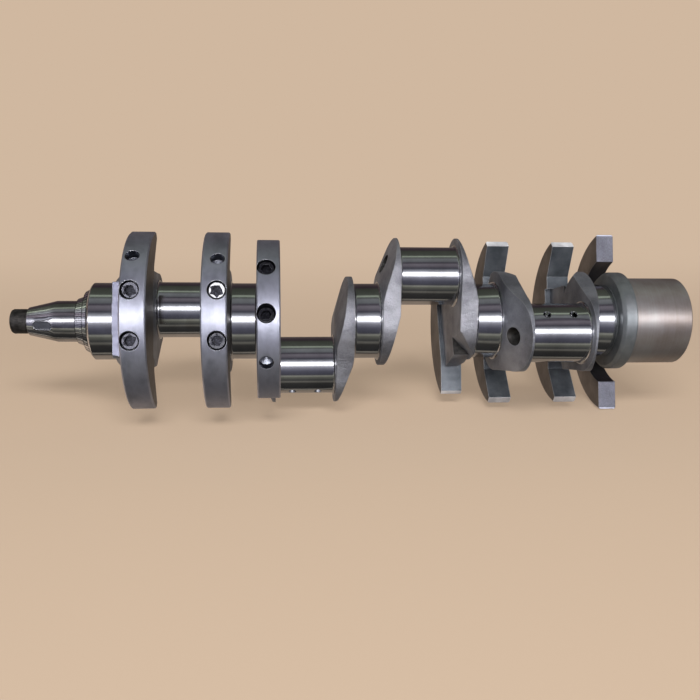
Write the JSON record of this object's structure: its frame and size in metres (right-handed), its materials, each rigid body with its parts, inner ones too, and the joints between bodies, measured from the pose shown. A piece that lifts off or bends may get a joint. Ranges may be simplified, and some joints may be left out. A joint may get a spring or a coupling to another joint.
{
  "type": "crankshaft",
  "caption": "Five-bearing cross-plane crankshaft for a V8 engine, with bolted-on counterweights, a keyed taper nose and a round rear hub.",
  "frame": {"origin": "centre of the middle main journal, on the crank axis", "axes": "+X along the crank axis from the nose to the rear hub, crankpin 1 towards +Y, crankpin 3 towards +Z"},
  "size_m": [0.621, 0.1692, 0.1692],
  "materials": {
    "forged_steel": "forged webs with ground and polished journals",
    "machined_steel": "satin, turned rims and milled flats",
    "screw_steel": "black oxide",
    "dowel_steel": "ground"
  },
  "bodies": {
    "root": {"crank_forging": "forged_steel", "counterweight_1": "machined_steel", "counterweight_2": "machined_steel", "counterweight_3": "machined_steel", "counterweight_6": "machined_steel", "counterweight_7": "machined_steel", "counterweight_8": "machined_steel", "rear_counterweight": "machined_steel", "counterweight_1_screws": "screw_steel", "counterweight_2_screws": "screw_steel", "counterweight_3_screws": "screw_steel", "counterweight_6_screws": "screw_steel", "counterweight_7_screws": "screw_steel", "counterweight_8_screws": "screw_steel", "rear_counterweight_screws": "screw_steel", "counterweight_1_dowels": "dowel_steel", "counterweight_2_dowels": "dowel_steel", "counterweight_3_dowels": "dowel_steel", "counterweight_6_dowels": "dowel_steel", "counterweight_7_dowels": "dowel_steel", "counterweight_8_dowels": "dowel_steel", "rear_counterweight_dowels": "dowel_steel"}
  },
  "joints": []
}
